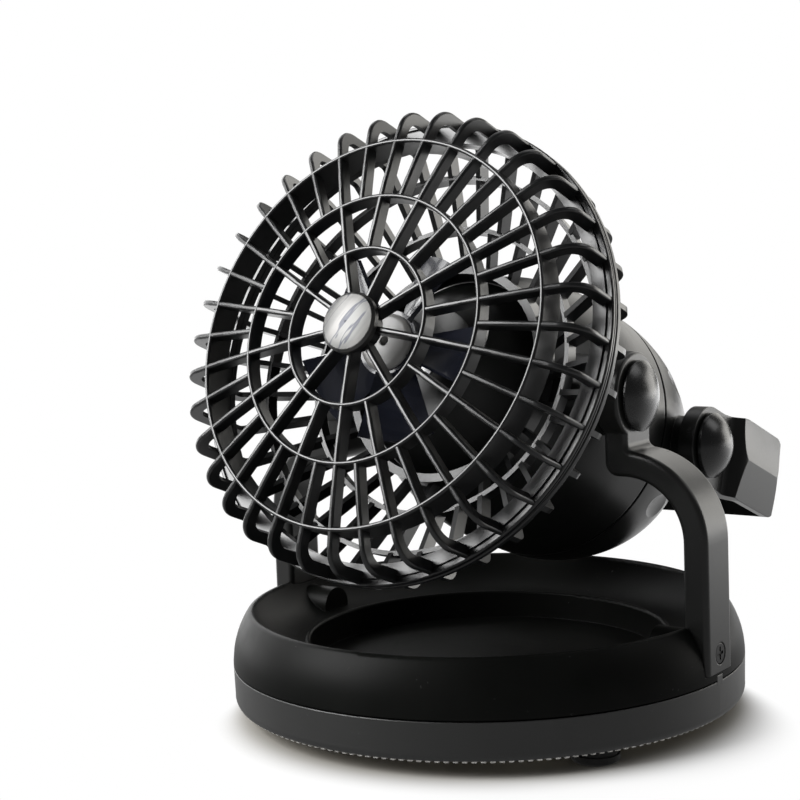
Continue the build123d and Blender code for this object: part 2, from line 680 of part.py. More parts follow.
def housing_form(inset):
    """Solid barrel with a rounded front and a flat nose, drawn in by an inset."""
    radius = HOUSING_R - inset
    nose = NOSE_A - inset
    middle = (BOWL_A + nose) / 2
    nose_r = bowl_radius(nose, inset)
    return spun(
        Line((0, HOUSING_BACK), (radius, HOUSING_BACK)),
        Line((radius, HOUSING_BACK), (radius, BOWL_A)),
        ThreePointArc((radius, BOWL_A), (bowl_radius(middle, inset), middle), (nose_r, nose)),
        Line((nose_r, nose), (0, nose)),
        Line((0, nose), (0, HOUSING_BACK)),
    )


def motor_housing():
    back = HOUSING_BACK
    inner = HOUSING_R - HOUSING_WALL
    plate_a = NOSE_A - HOUSING_WALL
    spigot_out = inner + HOUSING_WALL / 2 - FIT
    spigot = ring(inner, spigot_out, back - COVER_GAP - SPIGOT_L, back + 1)
    boss_root = sqrt(bowl_radius(PIVOT_BOSS_R) ** 2 - PIVOT_BOSS_R ** 2) - HOUSING_WALL / 2
    boss = along_x(disc(PIVOT_BOSS_R, boss_root, PIVOT_BOSS_X))
    boss = fillet(boss.edges().group_by(Axis.X)[-1], 0.8)
    posts = at_angles(disc(POST_R, back, back + COVER_POST_L), COVER_SCREW_RING_R, COVER_SCREW_ANGLES)
    web = Box(inner - COVER_SCREW_RING_R + 1, 2.0, COVER_POST_L)
    web = Pos((inner - COVER_SCREW_RING_R + 1) / 2, 0, back + COVER_POST_L / 2) * web
    webs = at_angles(web, COVER_SCREW_RING_R, COVER_SCREW_ANGLES)
    shell = housing_form(0) - housing_form(HOUSING_WALL)
    shell = joined(shell, [spigot] + both_sides(boss) + posts + webs)
    pin_hole = along_x(disc(PIN_R + SCREW_FIT, PIVOT_BOSS_X - PIN_GRIP, PIVOT_BOSS_X + 1))
    neck = disc(MOTOR_NECK_R + FIT, plate_a - 1, NOSE_A + 1)
    pilots = at_angles(disc(SCREW_R + SCREW_FIT, back - 1, back + COVER_POST_L - 1),
                       COVER_SCREW_RING_R, COVER_SCREW_ANGLES)
    motor_holes = at_angles(disc(SCREW_R + PASS_FIT, plate_a - 1, NOSE_A + 1), MOTOR_SCREW_RING_R, (0, 180))
    return shell - neck - both_sides(pin_hole) - pilots - motor_holes


def cover_arc(wall):
    """Side of the rear cover, inset by a wall: a smooth curve through points of an ellipse."""
    start = HOUSING_BACK - COVER_GAP
    depth = start - COVER_END - wall
    length = COVER_LENGTH - wall
    points = []
    for share in (1.0, 0.8, 0.6, 0.4, 0.2, 0.0):
        s = depth * share / length
        points.append(((HOUSING_R - wall) * sqrt(1 - s ** 2), start - depth * share))
    return Spline(*points)


def cover_ovals():
    """Lens shapes that press the finger dimples into the cover."""
    share = (HOUSING_BACK - COVER_GAP - OVAL_A) / COVER_LENGTH
    radius = HOUSING_R * sqrt(1 - share ** 2)
    slope = degrees(atan2(HOUSING_R * share, COVER_LENGTH * sqrt(1 - share ** 2)))
    lens = scale(Sphere(1), by=(OVAL_BULGE, OVAL_W / 2, OVAL_L / 2))
    lens = Pos(radius, 0, OVAL_A) * Rot(0, slope, 0) * Pos(OVAL_BULGE - OVAL_DEPTH, 0, 0) * lens
    step = 360 / OVAL_COUNT
    return at_angles(lens, 0, [step * (i + 0.5) for i in range(OVAL_COUNT)])


def rear_cover():
    start = HOUSING_BACK - COVER_GAP
    outer = cover_arc(0)
    inner = cover_arc(COVER_WALL)
    inner_end = COVER_END + COVER_WALL
    shell = spun(outer, Line(outer @ 1, inner @ 1), inner, Line(inner @ 0, (0, inner_end)),
                 Line((0, inner_end), (0, COVER_END)), Line((0, COVER_END), outer @ 0))
    shell = fillet(wide_circles(shell, CELL_R * 2).group_by(Axis.Z)[0], COVER_ROUND)
    shell = Rot(0, 0, COVER_SEAM) * shell
    rebate_r = HOUSING_R - HOUSING_WALL / 2
    rebate = ring(HOUSING_R - COVER_WALL * 2, rebate_r, start - SPIGOT_L - FIT, start + 1)
    boss = along_x(disc(HANDLE_BOSS_R, HOUSING_R - COVER_WALL - PIN_GRIP, HANDLE_BOSS_X))
    boss = fillet(boss.edges().group_by(Axis.X)[-1], 0.8).moved(Location((0, 0, HANDLE_A)))
    sleeves = at_angles(disc(SLEEVE_R, SLEEVE_END, start), COVER_SCREW_RING_R, COVER_SCREW_ANGLES)
    ends = at_angles(disc(POST_R, start - 1, HOUSING_BACK), COVER_SCREW_RING_R, COVER_SCREW_ANGLES)
    post = disc(POST_R / 2, inner_end - 1, BOARD_A)
    post_x = CONTROL_BOARD_W / 2 - POST_R / 2
    post_y = CONTROL_BOARD_H / 2 - POST_R / 2
    board_posts = [Pos(x, y, 0) * post for x in (-post_x, post_x) for y in (-post_y, post_y)]
    shell = shell - rebate + both_sides(boss) + sleeves + ends + board_posts
    seats = at_angles(disc(SCREW_HEAD_R + PASS_FIT, COVER_END - 1, COVER_SCREW_SEAT),
                      COVER_SCREW_RING_R, COVER_SCREW_ANGLES)
    ways = at_angles(disc(SCREW_R + PASS_FIT, COVER_END, 0), COVER_SCREW_RING_R, COVER_SCREW_ANGLES)
    pin_hole = along_x(disc(PIN_R + SCREW_FIT, HANDLE_BOSS_X - PIN_GRIP, HANDLE_BOSS_X + 1))
    pin_hole = pin_hole.moved(Location((0, 0, HANDLE_A)))
    button = Pos(BUTTON_X, BUTTON_Y, 0) * disc(BUTTON_R + BUTTON_GAP, COVER_END - 1, inner_end + 0.5)
    socket = Pos(0, SOCKET_Y, 0) * disc(SOCKET_R + FIT, COVER_END - 1, inner_end + 0.5)
    return shell - seats - ways - both_sides(pin_hole) - both_sides(button) - socket - cover_ovals()


def cover_screws():
    length = HOUSING_BACK + COVER_POST_L - COVER_SCREW_SEAT - 2
    one = Pos(0, 0, COVER_SCREW_SEAT) * Rot(180, 0, 0) * screw(SCREW_R, length, SCREW_HEAD_R, SCREW_HEAD_H)
    return Compound(at_angles(one, COVER_SCREW_RING_R, COVER_SCREW_ANGLES))


# Pivot and handle fittings

def knob(boss_x, face_x, edge, dome):
    """Right-hand knob along X: a pin gripped in its boss and a domed head."""
    top = face_x + edge
    head = spun(
        Line((0, face_x), (KNOB_R - 0.5, face_x)),
        Line((KNOB_R - 0.5, face_x), (KNOB_R, face_x + 0.5)),
        Line((KNOB_R, face_x + 0.5), (KNOB_R, top)),
        cap_arc(KNOB_R, top, dome),
        Line((0, top + dome), (0, face_x)),
    )
    return along_x(head + disc(PIN_R, boss_x - PIN_GRIP + FIT, face_x + 0.5))


def pivot_knob():
    return knob(PIVOT_BOSS_X, STEM_OUT_X + FACE_GAP, KNOB_EDGE, KNOB_DOME)


def handle_knob():
    face_x = HANDLE_BOSS_X + 2 * FACE_GAP + HANDLE_NECK_T
    one = knob(HANDLE_BOSS_X, face_x, HANDLE_KNOB_EDGE, HANDLE_KNOB_DOME)
    return one.moved(Location((0, 0, HANDLE_A)))


def pivot_washers():
    washer = along_x(ring(PIN_R + FIT, PIVOT_BOSS_R - 1, PIVOT_BOSS_X, PIVOT_BOSS_X + WASHER_T))
    return Compound(both_sides(washer))


def carry_handle():
    neck_in = HANDLE_BOSS_X + FACE_GAP
    neck_out = neck_in + HANDLE_NECK_T
    grip_in = GRIP_OUT_X - GRIP_T
    front = HANDLE_A + HANDLE_HUB_R + 1
    bar_in = BAR_OUT + BAR_T
    step_end = GRIP_START - GRIP_STEP
    under_start = GRIP_START - GRIP_STEP * 0.7
    under_end = step_end - GRIP_STEP
    half = make_face(Polyline(
        (neck_in, front), (neck_out, front), (neck_out, GRIP_START), (GRIP_OUT_X, step_end),
        (GRIP_OUT_X, BAR_OUT), (0, BAR_OUT), (0, bar_in), (grip_in, bar_in), (grip_in, under_end),
        (neck_in, under_start), close=True).edges())
    for point, radius in (((GRIP_OUT_X, BAR_OUT), BAR_CORNER), ((grip_in, bar_in), BAR_CORNER / 2),
                          ((GRIP_OUT_X, step_end), 3.6), ((neck_out, GRIP_START), 2.0),
                          ((grip_in, under_end), 2.0), ((neck_in, under_start), 2.5)):
        half = fillet(half.vertices().sort_by_distance((*point, 0))[0], radius)
    bow = extrude(Plane.XZ * half, GRIP_HALF + 2, both=True)
    bow = bow + mirror(bow, Plane.YZ)
    side = make_face(Polyline(
        (HANDLE_HUB_R, HANDLE_A), (HANDLE_HUB_R, HANDLE_A - 8), (GRIP_HALF, GRIP_START - 5),
        (GRIP_HALF, BAR_OUT), (-GRIP_HALF, BAR_OUT), (-GRIP_HALF, GRIP_START - 5),
        (-HANDLE_HUB_R, HANDLE_A - 8), (-HANDLE_HUB_R, HANDLE_A), close=True).edges())
    for sign in (1, -1):
        corner = side.vertices().sort_by_distance((sign * GRIP_HALF, BAR_OUT, 0))[0]
        side = fillet(corner, HANDLE_ROUND)
    side = side + Pos(0, HANDLE_A) * Circle(HANDLE_HUB_R)
    far = GRIP_HALF + 2
    edge_x = GRIP_OUT_X - GRIP_LEAN
    ridge = make_face([
        Line((0, -far), (edge_x, -far)),
        Line((edge_x, -far), (GRIP_OUT_X, 0)),
        ThreePointArc((GRIP_OUT_X, 0), (GRIP_OUT_X - GRIP_LEAN * GRIP_HOLLOW, far / 2), (edge_x, far)),
        Line((edge_x, far), (0, far)),
        Line((0, far), (0, -far)),
    ])
    length = HANDLE_A - BAR_OUT + HANDLE_HUB_R * 2
    prism = extrude(Pos(0, 0, BAR_OUT - 1) * ridge, length)
    handle = bow & extrude(Plane.YZ * side, GRIP_OUT_X + 1, both=True)
    handle = handle & (prism + mirror(prism, Plane.YZ))
    bore = along_x(disc(PIN_R + PIN_FIT, 0, GRIP_OUT_X)).moved(Location((0, 0, HANDLE_A)))
    return handle - both_sides(bore)


# Motor and rotor

def motor_can():
    front = NOSE_A - HOUSING_WALL
    can = disc(MOTOR_R, front - MOTOR_L, front)
    can = fillet(can.edges().filter_by(GeomType.CIRCLE), 1.0)
    neck = disc(MOTOR_NECK_R, front - 1, front + MOTOR_NECK_L)
    bore = disc(SHAFT_R + SHAFT_FIT, front - SHAFT_IN_MOTOR, NOSE_A * 2)
    pilots = at_angles(disc(SCREW_R + SCREW_FIT, front - 6, front + 1), MOTOR_SCREW_RING_R, (0, 180))
    return can + neck - bore - pilots


def motor_screws():
    one = Pos(0, 0, NOSE_A) * screw(SCREW_R, HOUSING_WALL + 5, SCREW_HEAD_R, SCREW_HEAD_H)
    return Compound(at_angles(one, MOTOR_SCREW_RING_R, (0, 180)))


def motor_shaft():
    return disc(SHAFT_R, NOSE_A - HOUSING_WALL - SHAFT_IN_MOTOR + PIN_FIT, SHAFT_END)


def blade_section(radius, chord, pitch):
    turn = radians(pitch)
    plane = Plane(origin=(radius, 0, BLADE_MID_A), x_dir=(0, -cos(turn), sin(turn)), z_dir=(1, 0, 0))
    half = chord / 2
    rise = chord * BLADE_CAMBER
    return plane * make_face([
        ThreePointArc((-half, 0), (0, rise), (half, 0)),
        Line((half, 0), (half, -BLADE_T)),
        ThreePointArc((half, -BLADE_T), (0, rise - BLADE_T), (-half, -BLADE_T)),
        Line((-half, -BLADE_T), (-half, 0)),
    ])


def rotor_hub():
    hub = disc(ROTOR_HUB_R, ROTOR_BACK, ROTOR_FRONT)
    hub = fillet(hub.edges().group_by(Axis.Z)[-1], 1.6)
    cup = ring(SHAFT_R * 2.4, ROTOR_HUB_R - ROTOR_HUB_WALL, ROTOR_BACK - 1, ROTOR_FRONT - ROTOR_HUB_WALL)
    bore = disc(SHAFT_R + 0.01, ROTOR_BACK - 1, ROTOR_FRONT + 1)
    return hub - cup - bore


def fan_blades():
    """Blades on a sleeve that is pushed over the hub."""
    inner = ROTOR_HUB_R + SCREW_FIT
    sleeve = ring(inner, inner + SLEEVE_T, ROTOR_BACK, ROTOR_FRONT - ROTOR_HUB_WALL)
    root = blade_section(ROTOR_HUB_R - 1, BLADE_ROOT_CHORD, BLADE_ROOT_PITCH)
    tip = blade_section(BLADE_TIP_R + 1, BLADE_TIP_CHORD, BLADE_TIP_PITCH)
    low, high = BLADE_MID_A - BLADE_TIP_CHORD, BLADE_MID_A + BLADE_TIP_CHORD
    span = ring(inner + SLEEVE_T / 2, BLADE_TIP_R, low, high)
    blade = loft([root, tip]) & span
    return sleeve + at_angles(blade, 0, [BLADE_TURN + 360 / BLADES * i for i in range(BLADES)])


# Battery, board, buttons and socket

def battery_cells():
    cell = disc(CELL_R, CELL_FRONT - CELL_L, CELL_FRONT)
    cell = fillet(cell.edges().filter_by(GeomType.CIRCLE), 0.6)
    return Compound(both_sides(Pos(CELL_SPACING / 2, 0, 0) * cell))


def battery_tray():
    width = CELL_SPACING + 2 * (CELL_R + TRAY_T)
    low = -CELL_R - TRAY_T
    back = CELL_FRONT - CELL_L
    cradle = Pos(0, low / 2, (CELL_FRONT + back) / 2) * Box(width, -low, CELL_L)
    beds = both_sides(Pos(CELL_SPACING / 2, 0, 0) * disc(CELL_R + TRAY_CLEAR, back - 1, CELL_FRONT + 1))
    leg_h = HOUSING_R
    leg_l = CELL_FRONT - HOUSING_BACK - COVER_POST_L - 4
    leg = Pos(CELL_SPACING * 0.7, low + TRAY_T / 2 - leg_h / 2, CELL_FRONT - leg_l / 2)
    leg = leg * Box(TRAY_LEG_T, leg_h, leg_l)
    leg = leg & housing_form(HOUSING_WALL)
    return joined(cradle - beds, both_sides(leg))


def battery_contacts():
    plate = Box(CELL_SPACING + CELL_R, CELL_R, CONTACT_T)
    front = Pos(0, 0, CELL_FRONT + CONTACT_T / 2) * plate
    tab = Box(CELL_R, CELL_R, CONTACT_T)
    tab = Pos(CELL_SPACING / 2, 0, CELL_FRONT - CELL_L - CONTACT_T / 2) * tab
    return Compound([front] + both_sides(tab))


def control_board():
    return Pos(0, 0, BOARD_A + CONTROL_BOARD_T / 2) * Box(CONTROL_BOARD_W, CONTROL_BOARD_H, CONTROL_BOARD_T)


def push_button():
    """Right-hand button on the rear face, with a flange inside and a stem to the board."""
    inner_a = COVER_END + COVER_WALL + FACE_GAP
    body = disc(BUTTON_R, COVER_END - BUTTON_PROUD, inner_a + BUTTON_FLANGE_T)
    body = fillet(body.edges().group_by(Axis.Z)[0], 1.0)
    flange = disc(BUTTON_R + BUTTON_FLANGE, inner_a, inner_a + BUTTON_FLANGE_T)
    stem = disc(BUTTON_R / 4, inner_a, BOARD_A - BUTTON_TRAVEL - FACE_GAP)
    return Pos(BUTTON_X, BUTTON_Y, 0) * (body + flange + stem)


def dc_socket():
    body = disc(SOCKET_R, COVER_END - 0.1, COVER_END + SOCKET_L)
    lip = disc(SOCKET_LIP_R, COVER_END - SOCKET_LIP_T, COVER_END)
    bore = disc(SOCKET_BORE_R, COVER_END - 2, COVER_END + SOCKET_L - 1)
    return Pos(0, SOCKET_Y, 0) * (body + lip - bore)


base_nodes = {
    "base_upper_shell": base_upper_shell(),
    "base_lower_shell": base_lower_shell(),
    "lamp_lens": lamp_lens(),
    "lamp_reflector": lamp_reflector(),
    "led_board": disc(BOARD_R, FLOOR_Z - BOARD_T, FLOOR_Z),
    "lamp_leds": lamp_leds(),
    "rubber_feet": rubber_feet(),
    "base_screws": base_screws(),
    "yoke_arm_right": yoke_arm(),
    "yoke_arm_left": mirror(yoke_arm(), Plane.YZ),
    "arm_screws": arm_screws(),
}
head_nodes = {
    "front_grille": front_grille(),
    "hub_cap": hub_cap(),
    "rear_grille": rear_grille(),
    "motor_housing": motor_housing(),
    "rear_cover": rear_cover(),
    "cover_screws": cover_screws(),
    "pivot_knob_right": pivot_knob(),
    "pivot_knob_left": mirror(pivot_knob(), Plane.YZ),
    "pivot_washers": pivot_washers(),
    "handle_knob_right": handle_knob(),
    "handle_knob_left": mirror(handle_knob(), Plane.YZ),
    "carry_handle": carry_handle(),
    "motor_can": motor_can(),
    "motor_screws": motor_screws(),
    "motor_shaft": motor_shaft(),
    "rotor_hub": rotor_hub(),
    "fan_blades": fan_blades(),
    "battery_cells": battery_cells(),
    "battery_tray": battery_tray(),
    "battery_contacts": battery_contacts(),
    "control_board": control_board(),
    "fan_button": push_button(),
    "lamp_button": mirror(push_button(), Plane.YZ),
    "dc_socket": dc_socket(),
}

os.makedirs("parts", exist_ok=True)
for name, shape in base_nodes.items():
    export_step(shape, f"parts/{name}.step")
for name, shape in head_nodes.items():
    export_step(shape.moved(HEAD.location), f"parts/{name}.step")
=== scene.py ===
"""Looks of a camping fan on a lamp base: finishes, lamp prisms, studio and camera."""
import bpy
import math
from mathutils import Matrix, Vector


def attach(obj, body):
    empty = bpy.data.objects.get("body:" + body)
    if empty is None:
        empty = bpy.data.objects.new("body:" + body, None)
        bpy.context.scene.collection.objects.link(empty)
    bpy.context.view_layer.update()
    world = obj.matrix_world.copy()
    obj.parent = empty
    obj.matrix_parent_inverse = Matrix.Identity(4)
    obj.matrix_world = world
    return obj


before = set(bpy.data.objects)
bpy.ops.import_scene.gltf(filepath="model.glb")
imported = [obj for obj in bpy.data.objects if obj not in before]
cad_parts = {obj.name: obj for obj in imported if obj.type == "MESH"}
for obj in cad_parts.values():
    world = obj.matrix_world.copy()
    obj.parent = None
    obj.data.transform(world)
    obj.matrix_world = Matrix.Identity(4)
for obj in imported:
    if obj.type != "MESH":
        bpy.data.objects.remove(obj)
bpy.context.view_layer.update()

PIVOT = Vector((0, 0, 0.1014))      # tilt pivot of the fan head
TILT = math.radians(21.7)           # head's axis above level
WELL_R = 0.0574                     # radius of the round well in the base
BASE_EDGE_R = 0.079                 # radius where the base's lower edge leaves the floor


# Shader nodes

class Wire:
    """A shader socket that can be used in sums."""

    def __init__(self, finish, socket):
        self.finish = finish
        self.socket = socket

    def math(self, operation, first, second=0.0):
        return self.finish.node("ShaderNodeMath", {"operation": operation}, {0: first, 1: second})

    def __add__(self, other):
        return self.math("ADD", self, other)

    def __sub__(self, other):
        return self.math("SUBTRACT", self, other)

    def __rsub__(self, other):
        return self.math("SUBTRACT", other, self)

    def __mul__(self, other):
        return self.math("MULTIPLY", self, other)

    def __truediv__(self, other):
        return self.math("DIVIDE", self, other)

    def __pow__(self, other):
        return self.math("POWER", self, other)

    __radd__ = __add__
    __rmul__ = __mul__

    def sine(self):
        return self.math("SINE", self)

    def over(self, low, high):
        """0 below low, 1 above high, smooth between."""
        return self.finish.node("ShaderNodeMapRange", {"interpolation_type": "SMOOTHSTEP"},
                                {0: self, 1: low, 2: high})


class Finish:
    """A material and the nodes that make it."""

    INPUTS = {
        "color": "Base Color", "rough": "Roughness", "metal": "Metallic", "normal": "Normal",
        "coat": "Coat Weight", "ior": "IOR", "specular": "Specular IOR Level",
        "through": "Transmission Weight",
    }

    def __init__(self, name):
        self.material = bpy.data.materials.new(name)
        self.material.use_nodes = True
        self.tree = self.material.node_tree
        self.shader = self.tree.nodes["Principled BSDF"]
        self.place = self.node("ShaderNodeTexCoord", {}, {}, "Object")

    @classmethod
    def over_tree(cls, tree):
        """The same node making for a tree that isn't a material's."""
        made = cls.__new__(cls)
        made.tree = tree
        tree.nodes.clear()
        return made

    def node(self, kind, settings, inputs, out=0):
        """Add a node with its settings and inputs, and give one of its outputs."""
        made = self.tree.nodes.new(kind)
        for name, value in settings.items():
            setattr(made, name, value)
        for key, value in inputs.items():
            if isinstance(value, Wire):
                self.tree.links.new(value.socket, made.inputs[key])
            else:
                made.inputs[key].default_value = value
        return Wire(self, made.outputs[out]) if out is not None else made

    def noise(self, scale, detail=2.0, roughness=0.5, at=None):
        return self.node("ShaderNodeTexNoise", {}, {
            "Vector": at or self.place, "Scale": scale, "Detail": detail, "Roughness": roughness})

    def mixed(self, share, first, second):
        return self.node("ShaderNodeMix", {"data_type": "RGBA"},
                         {0: share, 6: rgba(first), 7: rgba(second)}, 2)

    def turned(self, location=(0, 0, 0), rotation=(0, 0, 0), scale=(1, 1, 1), at=None):
        """Coordinates in a frame that is moved, turned and stretched."""
        return self.node("ShaderNodeMapping", {"vector_type": "TEXTURE"}, {
            "Vector": at or self.place, "Location": location, "Rotation": rotation, "Scale": scale})

    def axis(self, letter):
        return self.node("ShaderNodeSeparateXYZ", {}, {0: self.place}, letter)

    def bump(self, height, strength, depth, round_by=0.0):
        """Bump over a normal that is softened at the edges by a radius."""
        inputs = {"Height": height, "Strength": strength, "Distance": depth}
        if round_by:
            inputs["Normal"] = self.node("ShaderNodeBevel", {"samples": 6}, {"Radius": round_by})
        return self.node("ShaderNodeBump", {}, inputs)

    def light_path(self, kind):
        return self.node("ShaderNodeLightPath", {}, {}, kind)

    def shine(self, kind, strength):
        """White light of a Background or an Emission node."""
        return self.node("ShaderNode" + kind, {}, {"Color": (1, 1, 1, 1), "Strength": strength})

    def blended(self, share, first, second):
        return self.node("ShaderNodeMixShader", {}, {0: share, 1: first, 2: second})

    def set(self, **values):
        for key, value in values.items():
            socket = self.shader.inputs[self.INPUTS[key]]
            if isinstance(value, Wire):
                self.tree.links.new(value.socket, socket)
            else:
                socket.default_value = rgba(value) if key == "color" else value
        return self.material


def rgba(value):
    return (*value, 1.0) if isinstance(value, tuple) and len(value) == 3 else value


# Finishes

SOFT_EDGE = 0.0005                  # rounding that the shading gives to moulded edges
WELL_DULL = 0.5                     # roughness added inside the well
DUST = (0.35, 0.35, 0.34)


def moulded(name, dark, pale, rough, grain=0.06, dust=0.5, specular=0.5, edge=SOFT_EDGE, well=0.0):
    """Moulded plastic: fine grain, slow tone drift, rubbed patches and faint dust.

    Inside the radius of a well it is duller.
    """
    f = Finish(name)
    drift = f.noise(28, 3)
    rub = f.noise(75, 4, 0.6).over(0.52, 0.72)
    fine = f.noise(2600, 2)
    speck = f.noise(900, 1).over(0.70, 0.78) * f.noise(60, 2).over(0.5, 0.7)
    tone = f.mixed(drift.over(0.3, 0.75), dark, pale)
    tone = f.mixed(speck * (0.22 * dust), tone, DUST)
    gloss = rough - 0.04 + drift * 0.06 + rub * 0.03 + speck * 0.2 + (fine - 0.5) * 0.06
    if well:
        x, y = f.axis("X"), f.axis("Y")
        outside = ((x * x + y * y) ** 0.5).over(well - 0.001, well)
        gloss = gloss + (1 - outside) * WELL_DULL
    return f.set(color=tone, rough=gloss, specular=specular,
                 normal=f.bump(fine + drift * 0.3, grain, 0.0002, edge))


def plated(name):
    """Plated cap with drawn streaks, and dark veins painted on its face as slanting reflections."""
    f = Finish(name)
    face = f.turned(tuple(PIVOT), (math.pi / 2 - TILT, 0, 0))
    slant = f.turned(rotation=(0, 0, math.radians(-34)), scale=(1, 9, 1), at=face)
    streak = f.noise(300, 3, 0.5, slant)
    reflection_noise = f.noise(170, 3, 0.6, slant)
    # Painted reflection: dark slanting veins darkened into the cap's colour.
    painted_reflection_vein = reflection_noise.over(0.47, 0.5) - reflection_noise.over(0.5, 0.53)
    tone = f.mixed(streak.over(0.35, 0.7), (0.085, 0.085, 0.083), (0.115, 0.113, 0.11))
    tone = f.mixed(painted_reflection_vein * 0.8, tone, (0.03, 0.032, 0.04))
    return f.set(color=tone, metal=1.0, rough=0.3 + streak * 0.1,
                 normal=f.bump(streak, 0.06, 0.0002, 0.0004))


def smoked(name):
    """Glossy blue-black plastic of the blades."""
    f = Finish(name)
    drift = f.noise(40, 3)
    fine = f.noise(1500, 2)
    tone = f.mixed(drift.over(0.3, 0.7), (0.007, 0.008, 0.014), (0.014, 0.016, 0.026))
    return f.set(color=tone, rough=0.16 + drift * 0.12, coat=0.3, normal=f.bump(fine, 0.03, 0.0002))


def clear_lens(name, through=0.9):
    """Clear plastic, or with less light through it a frosted one."""
    f = Finish(name)
    ring = f.noise(500, 2)
    tone = f.mixed(ring, (0.93, 0.91, 0.86), (1.0, 0.99, 0.96))
    return f.set(color=tone, rough=0.08 + ring * 0.12, through=through, ior=1.49,
                 normal=f.bump(f.noise(900, 1), 0.2, 0.0004))


def rubber(name, dark):
    """Matt rubber with a fine tooth."""
    f = Finish(name)
    fine = f.noise(1900, 3)
    drift = f.noise(70, 3)
    tone = f.mixed(drift.over(0.35, 0.7), dark, tuple(c * 1.9 for c in dark))
    return f.set(color=tone, rough=0.62 + fine * 0.2, specular=0.35,
                 normal=f.bump(fine, 0.2, 0.0003))


def steel(name, dark, pale, rough):
    """Plain or blackened metal, slightly uneven."""
    f = Finish(name)
    fine = f.noise(1400, 3, 0.6)
    drift = f.noise(120, 3)
    tone = f.mixed(drift * 0.6 + fine * 0.4, dark, pale)
    return f.set(color=tone, metal=1.0, rough=rough - 0.06 + fine * 0.14,
                 normal=f.bump(fine, 0.08, 0.0002))


def circuit_board(name):
    """Green board with broken rows of traces both ways."""
    f = Finish(name)
    lanes = (f.axis("X") * 3200).sine()
    cross = (f.axis("Z") * 2600).sine()
    trace = lanes.over(0.6, 0.8) * f.noise(160, 1).over(0.48, 0.52)
    trace = trace + cross.over(0.7, 0.85) * f.noise(190, 1).over(0.55, 0.58)
    tone = f.mixed(trace * 0.8, (0.012, 0.09, 0.035), (0.05, 0.22, 0.08))
    return f.set(color=tone, rough=0.34 + trace * 0.1, coat=0.25,
                 normal=f.bump(trace, 0.25, 0.0003))


def sleeved_cell(name):
    """Blue shrink sleeve of a battery cell."""
    f = Finish(name)
    drift = f.noise(90, 3)
    tone = f.mixed(drift, (0.02, 0.07, 0.22), (0.03, 0.1, 0.3))
    return f.set(color=tone, rough=0.3 + drift * 0.12, coat=0.2,
                 normal=f.bump(f.noise(300, 3), 0.1, 0.0004))


SHELL = moulded("satin_black_shell", (0.0026, 0.0028, 0.0025), (0.0046, 0.0049, 0.0044), 0.42,
                specular=0.06)
LOWER = moulded("satin_black_lower_shell", (0.0035, 0.0037, 0.0033), (0.006, 0.0063, 0.0057), 0.42,
                specular=1.0, well=WELL_R)
HOUSING = moulded("satin_black_housing", (0.0035, 0.0038, 0.0036), (0.006, 0.0064, 0.006), 0.34,
                  specular=0.45)
YOKE = moulded("satin_black_yoke", (0.004, 0.0042, 0.0039), (0.007, 0.0072, 0.0066), 0.36,
               specular=0.6)
GUARD = moulded("guard_black", (0.0025, 0.0027, 0.003), (0.0045, 0.0047, 0.005), 0.31,
                grain=0.012, dust=0.1, specular=0.75, edge=0)
KNOB = moulded("knob_black", (0.0045, 0.0046, 0.0048), (0.007, 0.0071, 0.0073), 0.28,
               specular=0.7)
PALE = moulded("pale_hub", (0.19, 0.187, 0.18), (0.24, 0.237, 0.23), 0.32, grain=0.05, dust=0.0)
WHITE = moulded("white_reflector", (0.72, 0.72, 0.70), (0.8, 0.8, 0.78), 0.3, grain=0.03, dust=0.0)
BUTTON = rubber("soft_button", (0.03, 0.03, 0.032))
FEET = rubber("rubber_foot", (0.012, 0.012, 0.012))
SCREWS = steel("black_screw", (0.02, 0.02, 0.021), (0.05, 0.05, 0.05), 0.36)
BRIGHT = steel("plain_steel", (0.45, 0.45, 0.46), (0.62, 0.62, 0.63), 0.26)
MOTOR = steel("motor_can", (0.36, 0.36, 0.37), (0.5, 0.5, 0.5), 0.3)
LENS = clear_lens("prism_lens")
PRISM = clear_lens("frosted_prism", 0.7)
LED = clear_lens("led_lens")

FINISHES = {
    "base_upper_shell": SHELL, "base_lower_shell": LOWER,
    "motor_housing": HOUSING, "rear_cover": HOUSING,
    "yoke_arm_right": YOKE, "yoke_arm_left": YOKE, "carry_handle": YOKE,
    "pivot_knob_right": KNOB, "pivot_knob_left": KNOB,
    "handle_knob_right": KNOB, "handle_knob_left": KNOB,
    "front_grille": GUARD, "rear_grille": GUARD, "hub_cap": plated("plated_cap"),
    "rotor_hub": PALE, "fan_blades": smoked("smoked_blade"), "motor_shaft": BRIGHT,
    "lamp_lens": LENS, "lamp_leds": LED, "lamp_reflector": WHITE, "battery_tray": WHITE,
    "led_board": circuit_board("lamp_board"), "control_board": circuit_board("control_board"),
    "battery_cells": sleeved_cell("cell_sleeve"), "battery_contacts": BRIGHT, "motor_can": MOTOR,
    "rubber_feet": FEET, "pivot_washers": FEET, "dc_socket": FEET,
    "base_screws": SCREWS, "arm_screws": SCREWS, "cover_screws": SCREWS, "motor_screws": SCREWS,
    "fan_button": BUTTON, "lamp_button": BUTTON,
}
for node, material in FINISHES.items():
    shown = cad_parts[node]
    shown.data.materials.clear()
    shown.data.materials.append(material)


# Row of small prisms round the lamp lens's lower edge

PRISMS = 192
PRISM_SIZE = (0.0015, 0.0015, 0.0008)     # outward, along the edge, upright
PRISM_PLACE = (0.0802, 0, 0.0048)
PRISM_BEVEL = 0.0002
PRISM_SMOOTH = math.radians(40)


